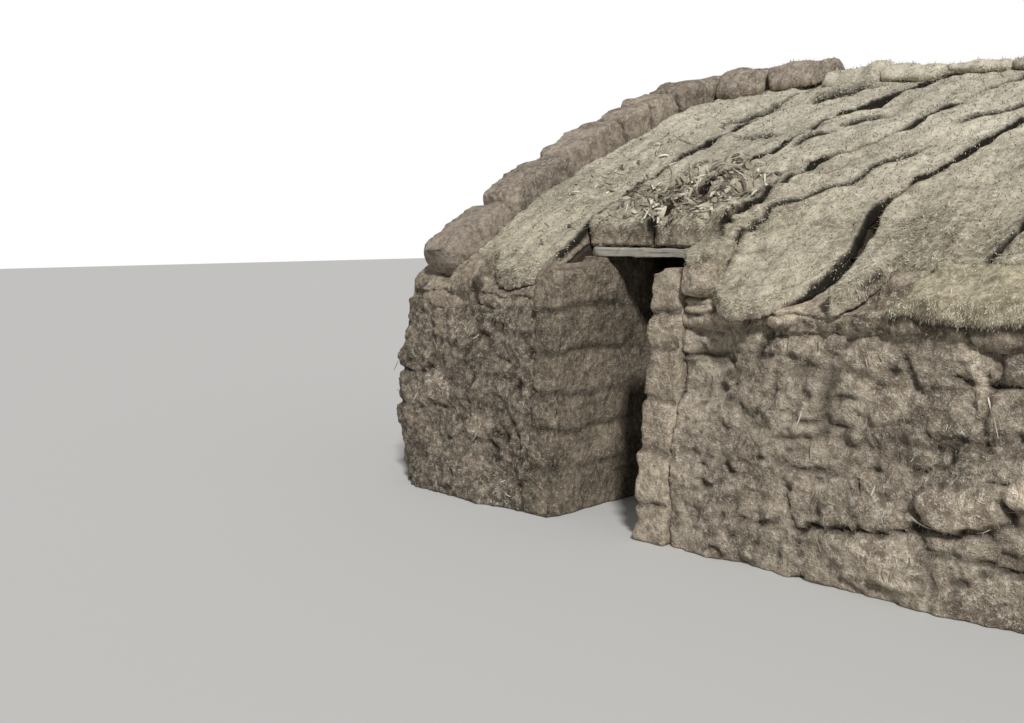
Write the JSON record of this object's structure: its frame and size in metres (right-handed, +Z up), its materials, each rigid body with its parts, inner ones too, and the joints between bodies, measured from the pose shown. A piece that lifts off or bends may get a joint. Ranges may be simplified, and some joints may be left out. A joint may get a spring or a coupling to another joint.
{
  "type": "turf house",
  "caption": "Small one-room turf house with thick sod walls, an open doorway, and a low bowed roof of sod strips on brushwood, purlins and bent rafters.",
  "frame": {"origin": "middle of the footprint at ground level", "axes": "+X along the front to the right seen from outside the doorway, +Y into the house, +Z up"},
  "size_m": [6.92, 5.6, 2.59],
  "materials": {
    "wall_sods": "matte fibrous peat",
    "grassy_sods": "matte dry grass",
    "roof_sods": "matte cropped turf",
    "peat_blocks": "matte dark peat",
    "lintel_slab": "weathered grey",
    "timber": "rough hewn",
    "brushwood": "twigs with bark"
  },
  "bodies": {
    "root": {"front_wall_left": "wall_sods", "front_wall_right": "wall_sods", "wall_over_door": "wall_sods", "back_wall": "wall_sods", "left_end_wall": "wall_sods", "right_end_wall": "wall_sods", "left_jamb": "wall_sods", "right_jamb": "wall_sods", "door_lintel": "lintel_slab", "inner_lintels": "timber", "front_head_left": "grassy_sods", "front_head_right": "grassy_sods", "back_head": "grassy_sods", "ridge_beam": "timber", "front_purlins": "timber", "back_purlins": "timber", "front_brushwood": "brushwood", "back_brushwood": "brushwood", "front_rafter_1": "timber", "front_rafter_2": "timber", "front_rafter_3": "timber", "back_rafter_1": "timber", "back_rafter_2": "timber", "back_rafter_3": "timber", "front_roof_sod_1": "roof_sods", "front_roof_sod_2": "roof_sods", "front_roof_sod_3": "roof_sods", "front_roof_sod_4": "roof_sods", "front_roof_sod_5": "roof_sods", "front_roof_sod_6": "roof_sods", "front_roof_sod_7": "roof_sods", "front_roof_sod_8": "roof_sods", "front_roof_sod_9": "roof_sods", "back_roof_sod_1": "roof_sods", "back_roof_sod_2": "roof_sods", "back_roof_sod_3": "roof_sods", "back_roof_sod_4": "roof_sods", "back_roof_sod_5": "roof_sods", "back_roof_sod_6": "roof_sods", "back_roof_sod_7": "roof_sods", "back_roof_sod_8": "roof_sods", "back_roof_sod_9": "roof_sods", "left_verge_blocks": "peat_blocks", "right_verge_blocks": "peat_blocks", "ridge_sods": "peat_blocks"}
  },
  "joints": []
}
